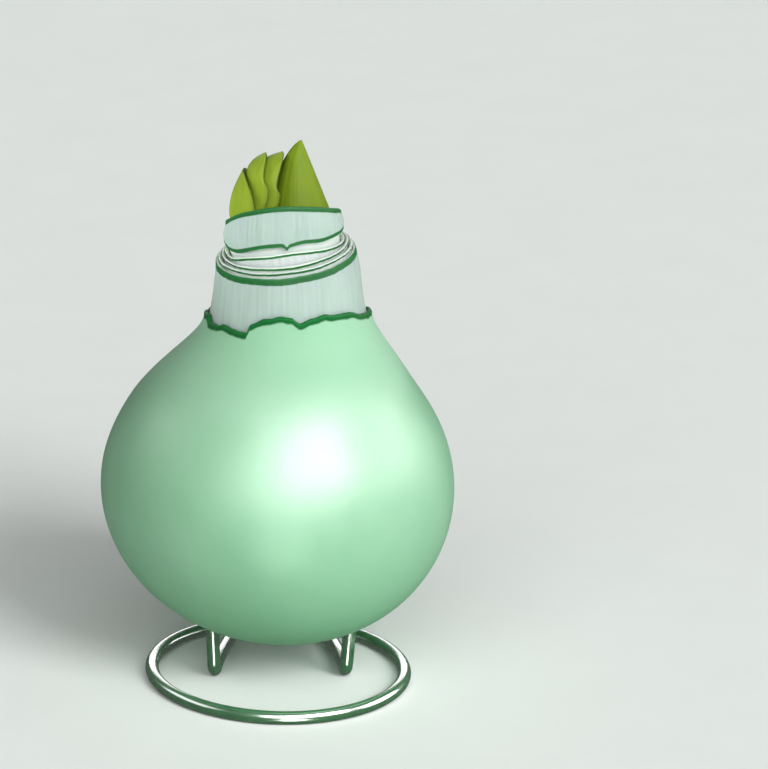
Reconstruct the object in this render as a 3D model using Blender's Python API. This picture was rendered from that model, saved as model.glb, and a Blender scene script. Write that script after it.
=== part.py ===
"""Waxed amaryllis bulb on a bent wire stand: closed solids in metres, +Z up.

The origin is on the ground under the belly of the bulb, and the viewer stands on the -Y side.
The bulb is dipped in wax up to its neck. Cut scales and a short sprout stand in the open neck.
One wire makes a ring on the ground and two prongs that are pushed up into the bulb.
"""
import math

import bpy
import numpy as np
from mathutils import Vector

# Driving dimensions of the waxed body
BELLY_RADIUS = 0.0480
BELLY_HEIGHT = 0.0510
LOWER_HALF_HEIGHT = 0.0430
BASE_FLAT_RADIUS = 0.0140
SHOULDER_RADIUS = 0.0244
SHOULDER_HEIGHT = 0.0952
SHOULDER_SLOPE = 0.63
BELLY_HANDLE = 0.0213
SHOULDER_HANDLE = 0.0088
NECK_TOP_RADIUS = 0.0201
NECK_TOP_HEIGHT = 0.1170
NECK_SLOPE = 0.12
NECK_LOWER_HANDLE = 0.0051
NECK_UPPER_HANDLE = 0.0094

# The bulb grew a little crooked: its middle line moves to +X above and below the belly
NECK_LEAN = 0.0032
LEAN_FROM_HEIGHT = 0.0747
LEAN_TO_HEIGHT = 0.0980
RIM_LEAN_BACK = 0.0011
RIM_LEAN_FROM_HEIGHT = 0.1120
RIM_LEAN_TO_HEIGHT = 0.1240
BASE_LEAN = 0.0026
BASE_LEAN_FROM_HEIGHT = 0.0639
BASE_LEAN_TO_HEIGHT = 0.0090

# Wax thickness on the body and at its thin upper edge, and the gap kept between touching pieces
WAX_THICKNESS = 0.0018
WAX_EDGE_THICKNESS = 0.0008
THIN_FROM_HEIGHT = 0.0900
THIN_TO_HEIGHT = 0.1000
GAP = 0.0003

# Upper edge of the wax: angle from +X in degrees (-90 is the front) and height
WAX_EDGE = [(-180, 0.1008), (-168, 0.1015), (-159, 0.1004), (-150, 0.1008), (-142, 0.1017),
            (-132, 0.1014), (-122, 0.1012), (-117, 0.1038), (-107, 0.1056), (-95, 0.1065),
            (-81, 0.1046), (-73, 0.1056), (-64, 0.1062), (-53, 0.1056), (-41, 0.1052),
            (-24, 0.1030), (-13, 0.1020), (8, 0.1005), (26, 0.0987), (45, 0.1002), (62, 0.0988),
            (85, 0.1010), (104, 0.0996), (122, 0.1012), (140, 0.1000), (160, 0.0990)]

# The hollow in the neck, where the sprout stands, and where its wall starts to bend
HOLLOW_RADIUS = 0.0181
HOLLOW_FLOOR_HEIGHT = 0.1105
NECK_BEND_HEIGHTS = (0.1120, 0.1142)
NECK_LIP_HEIGHT = 0.0010
NECK_LIP = 0.0003

# Cut edges of the neck and of the scales in it: mean height, rise to +X and rise to the back
NECK_EDGE = (0.1173, 0.0018, 0.0007)
SCALE_EDGES = [(0.1185, 0.0019, 0.0004), (0.1194, 0.0019, 0.0002)]
SCALE_THICKNESS = 0.0007
SCALE_STEP = 0.0010
SCALE_FLARE = 0.0004
SCALE_FLARE_HEIGHT = 0.0007
SCALE_LIP = 0.0001

# The third scale is torn unevenly: angle from +X in degrees and height
INNER_SCALE_EDGE = [(-180, 0.1190), (-156, 0.1186), (-124, 0.1207), (-103, 0.1219), (-85, 0.1227),
                    (-60, 0.1228), (-34, 0.1222), (-15, 0.1218), (20, 0.1216), (60, 0.1211),
                    (90, 0.1204), (130, 0.1198)]

# The sheath round the sprout: the torn lower edge of its skin, and its top edge
SKIN_EDGE = [(-180, 0.1206), (-155, 0.1203), (-141, 0.1207), (-123, 0.1224), (-110, 0.1235),
             (-92, 0.1242), (-70, 0.1249), (-53, 0.1245), (-34, 0.1245), (-11, 0.1243),
             (20, 0.1238), (60, 0.1229), (90, 0.1220), (130, 0.1212)]
SHEATH_EDGE = [(-180, 0.1280), (-160, 0.1293), (-138, 0.1320), (-124, 0.1334), (-105, 0.1349),
               (-87, 0.1354), (-71, 0.1351), (-48, 0.1339), (-25, 0.1321), (-5, 0.1304),
               (20, 0.1281), (50, 0.1254), (90, 0.1238), (130, 0.1246), (155, 0.1256)]
SHEATH_RADIUS = 0.0149
SHEATH_THICKNESS = 0.0009
SHEATH_BULGE_RADIUS = 0.0161
SHEATH_TOP_RADIUS = 0.0155
SHEATH_WALL = 0.0010
SHEATH_STRAIGHT = 0.0030
SKIN_LIP = 0.0003

# Leaves: each is a channelled blade along a middle line of Bezier pieces in the XZ plane
LEAF_FOOT_HEIGHT = HOLLOW_FLOOR_HEIGHT + GAP
LEAVES = [
    {"name": "leaf_outer", "radius": 0.0120, "half_angle": 62.0, "thickness": 0.0013,
     "line": [[(-0.0105, LEAF_FOOT_HEIGHT), (-0.0107, 0.1150), (-0.0111, 0.1195), (-0.0116, 0.1240)],
              [(-0.0116, 0.1240), (-0.0136, 0.1315), (-0.0112, 0.1355), (-0.0087, 0.1408)]]},
    {"name": "leaf_middle", "radius": 0.0100, "half_angle": 70.0, "thickness": 0.0011,
     "line": [[(-0.0088, LEAF_FOOT_HEIGHT), (-0.0090, 0.1150), (-0.0095, 0.1195), (-0.0099, 0.1240)],
              [(-0.0099, 0.1240), (-0.0110, 0.1312), (-0.0091, 0.1350), (-0.0082, 0.1388)],
              [(-0.0082, 0.1388), (-0.0073, 0.1426), (-0.0056, 0.1441), (-0.0024, 0.1453)]]},
    {"name": "leaf_inner", "radius": 0.0086, "half_angle": 86.0, "thickness": 0.0010,
     "line": [[(-0.0073, LEAF_FOOT_HEIGHT), (-0.0075, 0.1150), (-0.0079, 0.1195), (-0.0083, 0.1240)],
              [(-0.0083, 0.1240), (-0.0088, 0.1310), (-0.0074, 0.1345), (-0.0065, 0.1382)],
              [(-0.0065, 0.1382), (-0.0056, 0.1419), (-0.0034, 0.1443), (0.0022, 0.1456)]]},
]
LEAF_EDGE_THICKNESS = 0.0006
LEAF_EDGE_THINNING = 0.45
LEAF_TIP_THINNING = 0.30
LEAF_ROUND_FROM = 0.62
LEAF_ROUND_TO = 0.993
LEAF_ROUND_POWER = 2.7

# The flower bud: its right side is a straight slope up to the point
BUD_SHOULDER_HEIGHT = 0.1300
BUD_TIP_HEIGHT = 0.1491
BUD_TIP_FLAT = 0.0001
BUD_HALF_WIDTH = 0.0085
BUD_FOOT_HALF_WIDTH = 0.0078
BUD_DEPTH_RATIO = 1.05
BUD_RIGHT_X = 0.0143
BUD_RIGHT_SLOPE = 0.377
BUD_POINT_POWER = 0.73

# The wire lies on the ground in a slightly oval ring. Each end of the ring curls in under the bulb,
# runs to the front and turns up at its foot into a prong. Handles are those of the curled run.
WIRE_RADIUS = 0.0018
RING_RADIUS = 0.0343
RING_OVAL = 0.0014
RING_LONG_WAY = -47.0
RING_CENTRE_Y = -0.0120
RING_END_ANGLE = 38.0
FOOT_BEND_RADIUS = 0.0034
FOOT_HANDLE = 0.0200
LEFT_ARM = {"foot": (-0.0173, -0.0140), "heading": (0.0015, 0.0200), "ring_handle": 0.0220,
            "prong_top": (-0.0184, -0.0166, 0.0360)}
RIGHT_ARM = {"foot": (0.0184, -0.0144), "heading": (-0.0015, 0.0200), "ring_handle": 0.0160,
             "prong_top": (0.0212, -0.0152, 0.0350)}
PRONG_HOLE_START_HEIGHT = 0.0060
PRONG_HOLE_EXTRA_DEPTH = 0.0006

# How finely the round pieces are divided
WAX_SIDES = 56
NECK_SIDES = 40
BUD_SIDES = 20
BLADE_STEPS = 8
WIRE_SIDES = 10
RING_STEPS = 48
RUN_STEPS = 16
BEND_STEPS = 7


def clear_scene():
    """Empty the scene of the objects it starts with."""
    for thing in list(bpy.data.objects):
        bpy.data.objects.remove(thing)


def finish(name, colour, roughness, coat=0.0):
    """One Principled material of a plain colour."""
    material = bpy.data.materials.new(name)
    material.use_nodes = True
    shader = material.node_tree.nodes["Principled BSDF"]
    shader.inputs["Base Color"].default_value = (*colour, 1.0)
    shader.inputs["Roughness"].default_value = roughness
    shader.inputs["Metallic"].default_value = 0.0
    shader.inputs["Coat Weight"].default_value = coat
    return material


def smooth_step(value, start, end):
    """0 below start and 1 above end, with a smooth rise between them."""
    part = np.clip((value - start) / (end - start), 0.0, 1.0)
    return part * part * (3.0 - 2.0 * part)


def bezier(points, steps, closer_at_end=False):
    """Points along a cubic Bezier curve, ends included."""
    t = np.linspace(0.0, 1.0, steps)[:, None]
    if closer_at_end:
        t = np.sin(t * math.pi / 2)
    a, b, c, d = (np.array(p, float) for p in points)
    return (1 - t) ** 3 * a + 3 * t * (1 - t) ** 2 * b + 3 * t * t * (1 - t) * c + t ** 3 * d


def edge_height(points, angles):
    """Height of a torn edge at each angle: a smooth closed curve through its own points."""
    count = len(points)
    where = np.array([p[0] for p in points], float)
    height = np.array([p[1] for p in points], float)
    turn = (np.degrees(angles) + 180.0) % 360.0 - 180.0
    before = np.searchsorted(where, turn, side="right") - 1
    start = where[before]
    span = np.where(before == count - 1, where[0] + 360.0 - start, where[(before + 1) % count] - start)
    t = smooth_step((turn - start) / span, 0.0, 1.0)
    return height[before] * (1 - t) + height[(before + 1) % count] * t


def tilted_edge(edge, angles):
    """Height of a clean cut at each angle: a plane with a rise to +X and a rise to the back."""
    mean, rise_right, rise_back = edge
    return mean + rise_right * np.cos(angles) + rise_back * np.sin(angles)


def middle_x(height):
    """Where the bulb's middle line lies at a height."""
    lean = NECK_LEAN * smooth_step(height, LEAN_FROM_HEIGHT, LEAN_TO_HEIGHT)
    lean = lean - RIM_LEAN_BACK * smooth_step(height, RIM_LEAN_FROM_HEIGHT, RIM_LEAN_TO_HEIGHT)
    below = np.clip(BASE_LEAN_FROM_HEIGHT - height, 0.0, None) / (BASE_LEAN_FROM_HEIGHT - BASE_LEAN_TO_HEIGHT)
    return lean + BASE_LEAN * below ** 2


def wax_outline():
    """Radius and height along the outside of the wax, from the edge of the flat base to the neck."""
    first = math.asin(BASE_FLAT_RADIUS / BELLY_RADIUS)
    turn = np.linspace(first, math.pi / 2, 120)[:-1]
    lower = np.stack([BELLY_RADIUS * np.sin(turn), BELLY_HEIGHT - LOWER_HALF_HEIGHT * np.cos(turn)], 1)
    shoulder = (SHOULDER_RADIUS, SHOULDER_HEIGHT)
    upper = bezier([(BELLY_RADIUS, BELLY_HEIGHT), (BELLY_RADIUS, BELLY_HEIGHT + BELLY_HANDLE),
                    (SHOULDER_RADIUS + SHOULDER_SLOPE * SHOULDER_HANDLE, SHOULDER_HEIGHT - SHOULDER_HANDLE),
                    shoulder], 120)[:-1]
    neck = bezier([shoulder,
                   (SHOULDER_RADIUS - SHOULDER_SLOPE * NECK_LOWER_HANDLE, SHOULDER_HEIGHT + NECK_LOWER_HANDLE),
                   (NECK_TOP_RADIUS + NECK_SLOPE * NECK_UPPER_HANDLE, NECK_TOP_HEIGHT - NECK_UPPER_HANDLE),
                   (NECK_TOP_RADIUS, NECK_TOP_HEIGHT)], 60)
    return np.concatenate([lower, upper, neck])


def moved_in(outline, extra):
    """The outline moved in along its normals by the wax's thickness and an extra distance."""
    along = np.gradient(outline, axis=0)
    normal = np.stack([along[:, 1], -along[:, 0]], 1) / np.linalg.norm(along, axis=1)[:, None]
    thin = smooth_step(outline[:, 1], THIN_FROM_HEIGHT, THIN_TO_HEIGHT)
    distance = WAX_THICKNESS + (WAX_EDGE_THICKNESS - WAX_THICKNESS) * thin + extra
    moved = outline - normal * distance[:, None]
    moved[0, 1] = outline[0, 1] + distance[0]
    return moved


def radius_at(outline, height):
    """Radius of an outline at a height on its upper half."""
    upper = outline[outline[:, 1] > BELLY_HEIGHT]
    return np.interp(height, upper[:, 1], upper[:, 0])


def stations(outline, top, count):
    """Points spaced evenly along an outline, from its start up to a height."""
    part = outline[: np.searchsorted(outline[:, 1], top)]
    length = np.concatenate([[0.0], np.cumsum(np.linalg.norm(np.diff(part, axis=0), axis=1))])
    spots = np.linspace(0.0, length[-1], count)
    return np.stack([np.interp(spots, length, part[:, 0]), np.interp(spots, length, part[:, 1])], 1)


def angles_of(sides):
    """The angles of a ring's corners."""
    return np.arange(sides) * (2 * math.pi / sides)


def ring(angles, radius, height):
    """One ring of corners round the bulb's middle line, radius and height may vary by angle."""
    radius = np.broadcast_to(radius, angles.shape)
    height = np.broadcast_to(height, angles.shape)
    return np.stack([middle_x(height) + radius * np.cos(angles), radius * np.sin(angles), height], 1)


def solid(name, rings, material, open_loop=True):
    """Skin a list of rings. A list that doesn't meet itself is closed by a fan at each end."""
    count = len(rings)
    sides = len(rings[0])
    corners = np.concatenate(rings)
    faces = []
    last = count - 1 if open_loop else count
    for row in range(last):
        here = row * sides
        there = ((row + 1) % count) * sides
        for side in range(sides):
            after = (side + 1) % sides
            faces.append((here + side, here + after, there + after, there + side))
    if open_loop:
        middles = np.stack([rings[0].mean(axis=0), rings[-1].mean(axis=0)])
        corners = np.concatenate([corners, middles])
        first = count * sides
        top = (count - 1) * sides
        for side in range(sides):
            after = (side + 1) % sides
            faces.append((first, after, side))
            faces.append((first + 1, top + side, top + after))
    mesh = bpy.data.meshes.new(name)
    mesh.from_pydata(corners.tolist(), [], faces)
    mesh.materials.append(material)
    mesh.shade_smooth()
    mesh.set_sharp_from_angle(angle=math.radians(40))
    thing = bpy.data.objects.new(name, mesh)
    bpy.context.collection.objects.link(thing)
    return thing


def make_wax_coat(material):
    """The wax: a thin cup that follows the bulb, with a torn rounded upper edge."""
    angles = angles_of(WAX_SIDES)
    edge = edge_height(WAX_EDGE, angles)
    outside = wax_outline()
    inside = moved_in(outside, 0.0)
    rings = [ring(angles, r, z) for r, z in stations(outside, THIN_FROM_HEIGHT, 17)]
    for part in (0.24, 0.48, 0.72, 0.94):
        height = THIN_FROM_HEIGHT + (edge - THIN_FROM_HEIGHT) * part
        rings.append(ring(angles, radius_at(outside, height), height))
    rings.append(ring(angles, (radius_at(outside, edge) + radius_at(inside, edge)) / 2, edge))
    for part in (0.96, 0.72, 0.48, 0.24):
        height = THIN_FROM_HEIGHT + (edge - THIN_FROM_HEIGHT) * part
        rings.append(ring(angles, radius_at(inside, height), height))
    rings += [ring(angles, r, z) for r, z in stations(inside, THIN_FROM_HEIGHT, 13)[::-1]]
    return solid("wax_coat", rings, material)


def make_bulb(material):
    """The bulb: basal plate, body and cut neck in one, with the hollow that holds the sprout."""
    angles = angles_of(NECK_SIDES)
    edge = tilted_edge(NECK_EDGE, angles)
    outside = moved_in(wax_outline(), GAP)
    rings = [ring(angles, r, z) for r, z in stations(outside, THIN_FROM_HEIGHT, 15)]
    for part in (0.11, 0.22, 0.33, 0.45, 0.6, 0.8):
        height = THIN_FROM_HEIGHT + (edge - THIN_FROM_HEIGHT) * part
        rings.append(ring(angles, radius_at(outside, height), height))
    lip = radius_at(outside, edge)
    rings.append(ring(angles, lip, edge - NECK_LIP_HEIGHT))
    rings.append(ring(angles, lip - NECK_LIP, edge - NECK_LIP))
    rings.append(ring(angles, HOLLOW_RADIUS + NECK_LIP, edge))
    rings.append(ring(angles, HOLLOW_RADIUS, edge - NECK_LIP))
    rings += [ring(angles, HOLLOW_RADIUS, height) for height in (*NECK_BEND_HEIGHTS[::-1], HOLLOW_FLOOR_HEIGHT)]
    return solid("bulb", rings, material)


def sleeve_walls(angles, outer, inner):
    """The plain lower rings of a sleeve in the neck: those of its outside and of its inside."""
    heights = (HOLLOW_FLOOR_HEIGHT + GAP, *NECK_BEND_HEIGHTS)
    outside = [ring(angles, outer, height) for height in heights]
    inside = [ring(angles, inner, height) for height in heights[::-1]]
    return outside, inside


def make_scale(name, number, edge, material):
    """A bulb scale cut off above the neck: a thin sleeve, a little flared at its cut edge."""
    angles = angles_of(NECK_SIDES)
    outer = HOLLOW_RADIUS - GAP - number * SCALE_STEP
    inner = outer - SCALE_THICKNESS
    outside, inside = sleeve_walls(angles, outer, inner)
    knee = edge - SCALE_FLARE_HEIGHT
    lip = [ring(angles, outer, knee),
           ring(angles, outer + SCALE_FLARE - SCALE_LIP, edge - 2 * SCALE_LIP),
           ring(angles, (outer + inner) / 2 + SCALE_FLARE, edge),
           ring(angles, inner + SCALE_FLARE - SCALE_LIP, edge - 2 * SCALE_LIP),
           ring(angles, inner, knee)]
    return solid(name, outside + lip + inside, material, open_loop=False)


def make_sheath(material):
    """The sheath round the sprout: a sleeve below, and a thicker skin above with a torn lower edge."""
    angles = angles_of(NECK_SIDES)
    skin = edge_height(SKIN_EDGE, angles)
    top = edge_height(SHEATH_EDGE, angles)
    inner = SHEATH_RADIUS - SHEATH_THICKNESS
    upper_inner = SHEATH_TOP_RADIUS - SHEATH_WALL
    outside, inside = sleeve_walls(angles, SHEATH_RADIUS, inner)

    def band(part):
        return skin + (top - skin) * part

    rings = [ring(angles, SHEATH_RADIUS, skin - SHEATH_STRAIGHT),
             ring(angles, SHEATH_RADIUS, skin + SKIN_LIP),
             ring(angles, SHEATH_BULGE_RADIUS - SKIN_LIP, skin),
             ring(angles, SHEATH_BULGE_RADIUS, skin + SKIN_LIP),
             ring(angles, SHEATH_BULGE_RADIUS, band(0.40)),
             ring(angles, SHEATH_TOP_RADIUS + SKIN_LIP, band(0.78)),
             ring(angles, SHEATH_TOP_RADIUS, band(0.93)),
             ring(angles, (SHEATH_TOP_RADIUS + upper_inner) / 2, top),
             ring(angles, upper_inner, band(0.93)),
             ring(angles, upper_inner, band(0.40)),
             ring(angles, inner, skin - SHEATH_STRAIGHT)]
    return solid("sheath", outside + rings + inside, material, open_loop=False)


def make_leaf(leaf, material):
    """A channelled blade: an arc of its own radius carried along the middle line, hooded at the tip."""
    foot, *middle, tip = leaf["line"]
    pieces = [bezier(foot, 3)] + [bezier(piece, 7)[1:] for piece in middle] + [bezier(tip, 10, True)[1:]]
    line = np.concatenate(pieces)
    along = np.gradient(line, axis=0)
    along /= np.linalg.norm(along, axis=1)[:, None]
    length = np.concatenate([[0.0], np.cumsum(np.linalg.norm(np.diff(line, axis=0), axis=1))])
    part = length / length[-1]
    rounding = np.clip((part - LEAF_ROUND_FROM) / (1.0 - LEAF_ROUND_FROM), 0.0, LEAF_ROUND_TO)
    half_angle = math.radians(leaf["half_angle"]) * np.sqrt(1.0 - rounding ** LEAF_ROUND_POWER)
    inward = np.stack([along[:, 1], -along[:, 0]], 1)
    across = np.linspace(-1.0, 1.0, BLADE_STEPS + 1)
    rings = []
    for point, normal, half, place in zip(line, inward, half_angle, part):
        turn = across * half
        thick = leaf["thickness"] * (1.0 - LEAF_TIP_THINNING * smooth_step(place, LEAF_ROUND_FROM, 1.0))
        thick = np.maximum(thick * (1.0 - LEAF_EDGE_THINNING * across ** 2), LEAF_EDGE_THICKNESS)
        centre = point + normal * leaf["radius"]
        outer = [blade_point(centre, normal, leaf["radius"], a) for a in turn]
        inner = [blade_point(centre, normal, leaf["radius"] - t, a) for a, t in zip(turn, thick)]
        rings.append(np.array(outer + inner[::-1]))
    return solid(leaf["name"], rings, material)


def blade_point(centre, normal, radius, turn):
    """A point of a blade's cross-section, turned from its middle about the arc's centre."""
    x = centre[0] - normal[0] * radius * math.cos(turn)
    z = centre[1] - normal[1] * radius * math.cos(turn)
    return (x, -radius * math.sin(turn), z)


def make_bud(material):
    """The flower bud: oval sections that narrow to a point under a straight right side."""
    angles = angles_of(BUD_SIDES)
    rings = []
    lower = np.linspace(LEAF_FOOT_HEIGHT, BUD_SHOULDER_HEIGHT, 4)[:-1]
    rise = np.sin(np.linspace(0.0, math.pi / 2, 11)[:-1])
    upper = BUD_SHOULDER_HEIGHT + (BUD_TIP_HEIGHT - BUD_SHOULDER_HEIGHT) * rise
    for height in (*lower, *upper, BUD_TIP_HEIGHT - BUD_TIP_FLAT):
        up = max(height - BUD_SHOULDER_HEIGHT, 0.0)
        part = up / (BUD_TIP_HEIGHT - BUD_SHOULDER_HEIGHT)
        low = min((height - LEAF_FOOT_HEIGHT) / (BUD_SHOULDER_HEIGHT - LEAF_FOOT_HEIGHT), 1.0)
        foot = BUD_FOOT_HALF_WIDTH + (BUD_HALF_WIDTH - BUD_FOOT_HALF_WIDTH) * low
        half = foot * (1.0 - part) ** BUD_POINT_POWER
        centre = BUD_RIGHT_X - BUD_RIGHT_SLOPE * up - half
        rings.append(np.stack([centre + half * np.cos(angles), BUD_DEPTH_RATIO * half * np.sin(angles),
                               np.full(angles.shape, height)], 1))
    return solid("flower_bud", rings, material)


def round_corner(before, corner, after, radius, steps):
    """Points of the arc that rounds one corner of a bent wire."""
    back = (before - corner).normalized()
    ahead = (after - corner).normalized()
    half = back.angle(ahead) / 2
    reach = radius / math.tan(half)
    middle = corner + (back + ahead).normalized() * (radius / math.sin(half))
    start = corner + back * reach - middle
    end = corner + ahead * reach - middle
    return [middle + start.slerp(end, step / steps) * radius for step in range(steps + 1)]


def wire_height():
    """Height of the wire's middle when one flat side of it lies on the ground."""
    return WIRE_RADIUS * math.cos(math.pi / WIRE_SIDES)


def ring_point(turn):
    """A point of the ring's middle line at an angle from +X in degrees, on the ground."""
    radius = RING_RADIUS + RING_OVAL * math.cos(math.radians(2 * (turn - RING_LONG_WAY)))
    angle = math.radians(turn)
    return Vector((radius * math.cos(angle), RING_CENTRE_Y + radius * math.sin(angle), wire_height()))


def wire_arm(arm, side):
    """One arm of the stand from the ring's end: the curled run, the foot's bend and the prong."""
    end_turn = 90.0 - RING_END_ANGLE * side
    ring_end = ring_point(end_turn)
    ring_way = (ring_point(end_turn + side) - ring_end).normalized()
    foot = Vector((*arm["foot"], wire_height()))
    heading = Vector((*arm["heading"], 0.0)).normalized()
    prong_top = Vector(arm["prong_top"])
    foot_bend = round_corner(foot + heading, foot, prong_top, FOOT_BEND_RADIUS, BEND_STEPS)
    run = bezier([ring_end, ring_end + ring_way * arm["ring_handle"],
                  foot_bend[0] + heading * FOOT_HANDLE, foot_bend[0]], RUN_STEPS)
    points = [Vector(point) for point in run[1:-1]] + foot_bend
    points.append((points[-1] + prong_top) / 2)
    points.append(prong_top)
    return points


def tube_rings(points, start, up_at_start, radius, sides):
    """Rings carried along a path without twist, with a flat side turned away from up at its start."""
    turns = np.array([math.pi / sides + 2 * math.pi * side / sides for side in range(sides)])
    ways = [(points[min(i + 1, len(points) - 1)] - points[max(i - 1, 0)]).normalized()
            for i in range(len(points))]
    ups = [None] * len(points)
    ups[start] = (up_at_start - ways[start] * up_at_start.dot(ways[start])).normalized()
    for step, order in ((1, range(start + 1, len(points))), (-1, range(start - 1, -1, -1))):
        for i in order:
            up = ups[i - step].copy()
            up.rotate(ways[i - step].rotation_difference(ways[i]))
            ups[i] = (up - ways[i] * up.dot(ways[i])).normalized()
    rings = []
    for point, way, up in zip(points, ways, ups):
        out = way.cross(up)
        rings.append(np.array([tuple(point + (up * math.cos(a) + out * math.sin(a)) * radius) for a in turns]))
    return rings


def make_wire_stand(material):
    """The stand: one wire, from the tip of the left prong round the ring to the tip of the right one."""
    left = wire_arm(LEFT_ARM, -1)
    right = wire_arm(RIGHT_ARM, 1)
    turns = np.linspace(90.0 + RING_END_ANGLE, 450.0 - RING_END_ANGLE, RING_STEPS + 1)
    around = [ring_point(turn) for turn in turns]
    points = left[::-1] + around + right
    start = len(left) + len(around) // 2
    rings = tube_rings(points, start, Vector((0.0, 0.0, 1.0)), WIRE_RADIUS, WIRE_SIDES)
    return solid("wire_stand", rings, material)


def prong_hole(name, arm, thing_names):
    """A plain round hole for a prong, cut from the wax and the bulb."""
    foot = Vector((*arm["foot"], wire_height()))
    top = Vector(arm["prong_top"])
    way = (top - foot).normalized()
    start = foot + way * ((PRONG_HOLE_START_HEIGHT - foot.z) / way.z)
    end = top + way * PRONG_HOLE_EXTRA_DEPTH
    rings = tube_rings([start, (start + end) / 2, end], 1, Vector((1.0, 0.0, 0.0)), WIRE_RADIUS + GAP, WIRE_SIDES)
    cutter = solid(name, rings, None)
    cutter.hide_render = True
    cutter.display_type = "WIRE"
    for thing_name in thing_names:
        cut = bpy.data.objects[thing_name].modifiers.new(name, "BOOLEAN")
        cut.operation = "DIFFERENCE"
        cut.solver = "EXACT"
        cut.object = cutter


clear_scene()
make_wax_coat(finish("green_wax", (0.42, 0.72, 0.50), 0.30, 0.5))
make_bulb(finish("bulb_skin", (0.53, 0.66, 0.60), 0.60))
scale_colour = (0.66, 0.75, 0.70)
for number, edge in enumerate(SCALE_EDGES):
    edge_line = tilted_edge(edge, angles_of(NECK_SIDES))
    make_scale("neck_scale_%d" % (number + 1), number, edge_line, finish("cut_scale", scale_colour, 0.60))
inner_edge = edge_height(INNER_SCALE_EDGE, angles_of(NECK_SIDES))
make_scale("neck_scale_3", len(SCALE_EDGES), inner_edge, finish("cut_scale", scale_colour, 0.60))
make_sheath(finish("sheath_skin", (0.53, 0.67, 0.61), 0.60))
for leaf in LEAVES:
    make_leaf(leaf, finish(leaf["name"] + "_green", (0.25, 0.37, 0.04), 0.50))
make_bud(finish("bud_green", (0.25, 0.37, 0.04), 0.50))
make_wire_stand(finish("coated_wire", (0.03, 0.18, 0.05), 0.35))
prong_hole("left_hole", LEFT_ARM, ("wax_coat", "bulb"))
prong_hole("right_hole", RIGHT_ARM, ("wax_coat", "bulb"))
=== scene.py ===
"""The finished surfaces of a waxed amaryllis bulb on its wire stand, in metres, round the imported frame.

The origin is on the ground under the bulb's belly, +Z is up and the viewer stands on the -Y side.
The sections follow the object as it is put together: studio, wax coat, bulb, cut scales, sheath,
leaves, flower bud and wire stand. Colours are given as 8-bit red, green and blue.
"""
import math

import bpy
import numpy as np
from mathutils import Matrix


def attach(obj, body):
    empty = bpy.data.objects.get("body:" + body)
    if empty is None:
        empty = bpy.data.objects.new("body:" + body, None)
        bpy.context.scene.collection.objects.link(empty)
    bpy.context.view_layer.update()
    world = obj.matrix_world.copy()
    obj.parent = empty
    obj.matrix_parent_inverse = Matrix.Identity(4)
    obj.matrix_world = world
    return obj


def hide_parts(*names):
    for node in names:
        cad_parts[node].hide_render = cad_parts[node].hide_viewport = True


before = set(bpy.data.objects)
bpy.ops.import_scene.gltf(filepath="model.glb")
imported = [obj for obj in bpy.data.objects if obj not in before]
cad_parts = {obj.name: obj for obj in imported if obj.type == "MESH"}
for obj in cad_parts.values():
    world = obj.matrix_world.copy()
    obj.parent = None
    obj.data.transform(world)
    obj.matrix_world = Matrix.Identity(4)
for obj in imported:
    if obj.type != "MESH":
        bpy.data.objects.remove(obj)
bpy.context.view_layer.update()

# Studio. A plain pale floor and soft light that falls from high on the viewer's right. The suns light
# the surfaces alone and the large white boxes show in the gloss alone, so each is set by itself. The
# camera stands where the drawing's viewer stands, far off with a long lens, looking down.
IMAGE_WIDTH = 768
CAMERA_PLACE = (0.000275, -1.800, 0.735)
CAMERA_DOWN = 20.005
CAMERA_TO_RIGHT = 0.9146
FOCAL_LENGTH_PIXELS = 7098.8
SENSOR_WIDTH = 36.0
VIEW_END = 60.0
LAMP_AIM = np.array((0.0, 0.0, 0.060))
SUN_DISTANCE = 1.3
SUNS = {
    "key_lamp": {"way": (0.520, -0.650, 0.555), "spread": 28.0, "strength": 2.4},
    "low_lamp": {"way": (0.850, -0.500, 0.080), "spread": 30.0, "strength": 0.8},
    "fill_lamp": {"way": (-0.120, -0.780, 0.620), "spread": 60.0, "strength": 1.4},
}
NECK_LAMP_WAY = (-0.960, -0.200, 0.200)
NECK_LAMP_DISTANCE = 0.6
NECK_LAMP_RISE = 0.064
NECK_LAMP_POWER = 11.0
NECK_LAMP_CONE = 5.4
NECK_LAMP_SOFT_EDGE = 0.7
NECK_LAMP_RADIUS = 0.02
SHEEN_BOXES = {
    "soft_box": {"way": (0.440, -0.660, 0.610), "distance": 1.2,
                 "width": 0.9, "height": 0.8, "power": 54.0},
    "left_box": {"way": (-0.850, 0.080, 0.500), "distance": 1.2,
                 "width": 1.1, "height": 0.5, "power": 5.0},
    "right_box": {"way": (0.900, 0.080, 0.360), "distance": 1.2,
                  "width": 1.0, "height": 0.7, "power": 19.0},
    "back_box": {"way": (0.0, 0.940, 0.300), "distance": 2.0,
                 "width": 1.4, "height": 0.5, "power": 9.0},
    "front_box": {"way": (-0.050, -0.850, 0.520), "distance": 1.2,
                  "width": 0.7, "height": 0.8, "power": 15.0},
    "low_box": {"way": (0.080, -0.930, -0.350), "distance": 1.2,
                "width": 0.4, "height": 0.7, "power": 9.0},
}
AIR_COLOUR = (0.92, 1.00, 0.94, 1.0)
AIR_STRENGTH = 0.12
FLOOR_RADIUS = 15.0
FLOOR_SIDES = 96
FLOOR_SHADES = [(0.3, (228, 232, 229)), (0.7, (230, 234, 231))]


def linear(colour):
    """The linear colour of an 8-bit one: a power of 2.4 above a short straight foot."""
    value = np.array(colour) / 255.0
    return tuple(np.where(value > 0.04045, ((value + 0.055) / 1.055) ** 2.4, value / 12.92))


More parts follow.
